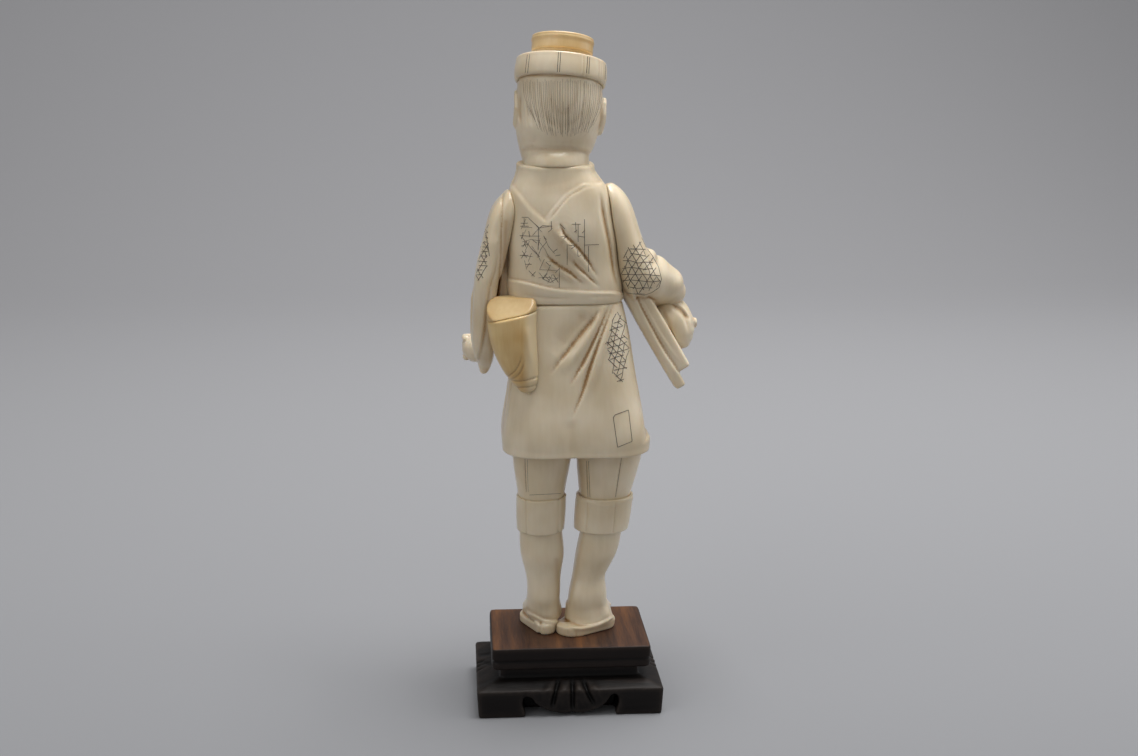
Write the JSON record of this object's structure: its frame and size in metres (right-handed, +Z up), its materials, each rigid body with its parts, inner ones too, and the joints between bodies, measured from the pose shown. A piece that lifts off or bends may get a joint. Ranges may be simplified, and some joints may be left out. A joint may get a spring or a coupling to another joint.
{
  "type": "okimono figure",
  "caption": "Standing country man carved in fitted sections, with a headband, hip basket and tied bundle, pegged into a carved wooden stand.",
  "frame": {"origin": "centre of the stand's underside", "axes": "+Z up, the figure faces -Y, so its left side is +X"},
  "size_m": [0.0889, 0.0587, 0.2507],
  "materials": {
    "ivory": "polished carved ivory, cream with amber in the cuts",
    "amber_ivory": "polished ivory stained amber",
    "rosewood": "waxed reddish-brown rosewood",
    "dark_wood": "dark stained carved wood, worn on the slopes",
    "peg_wood": "bare hardwood"
  },
  "bodies": {
    "stand": {"stand_plinth": "dark_wood", "stand_top": "rosewood", "stand_dowels": "peg_wood"},
    "figure": {"foot_pegs": "peg_wood", "knee_pegs": "peg_wood", "hip_pegs": "peg_wood", "waist_dowel": "peg_wood", "neck_peg": "peg_wood", "crown_peg": "peg_wood", "arm_pegs": "peg_wood", "carried_pegs": "peg_wood", "left_lower_leg": "ivory", "right_lower_leg": "ivory", "left_trouser": "ivory", "right_trouser": "ivory", "left_cuff": "ivory", "right_cuff": "ivory", "jacket_skirt": "ivory", "jacket_body": "ivory", "head": "ivory", "headband": "ivory", "hat_crown": "amber_ivory", "left_sleeve": "ivory", "right_sleeve": "ivory", "left_hand": "ivory", "right_hand": "ivory", "bundle": "ivory", "basket_body": "amber_ivory", "basket_lid": "amber_ivory"}
  },
  "joints": [
    {"name": "figure_lift", "type": "slide", "parent": "stand", "child": "figure", "axis": [0, 0, 1], "range_m": [0, 0.015]}
  ]
}
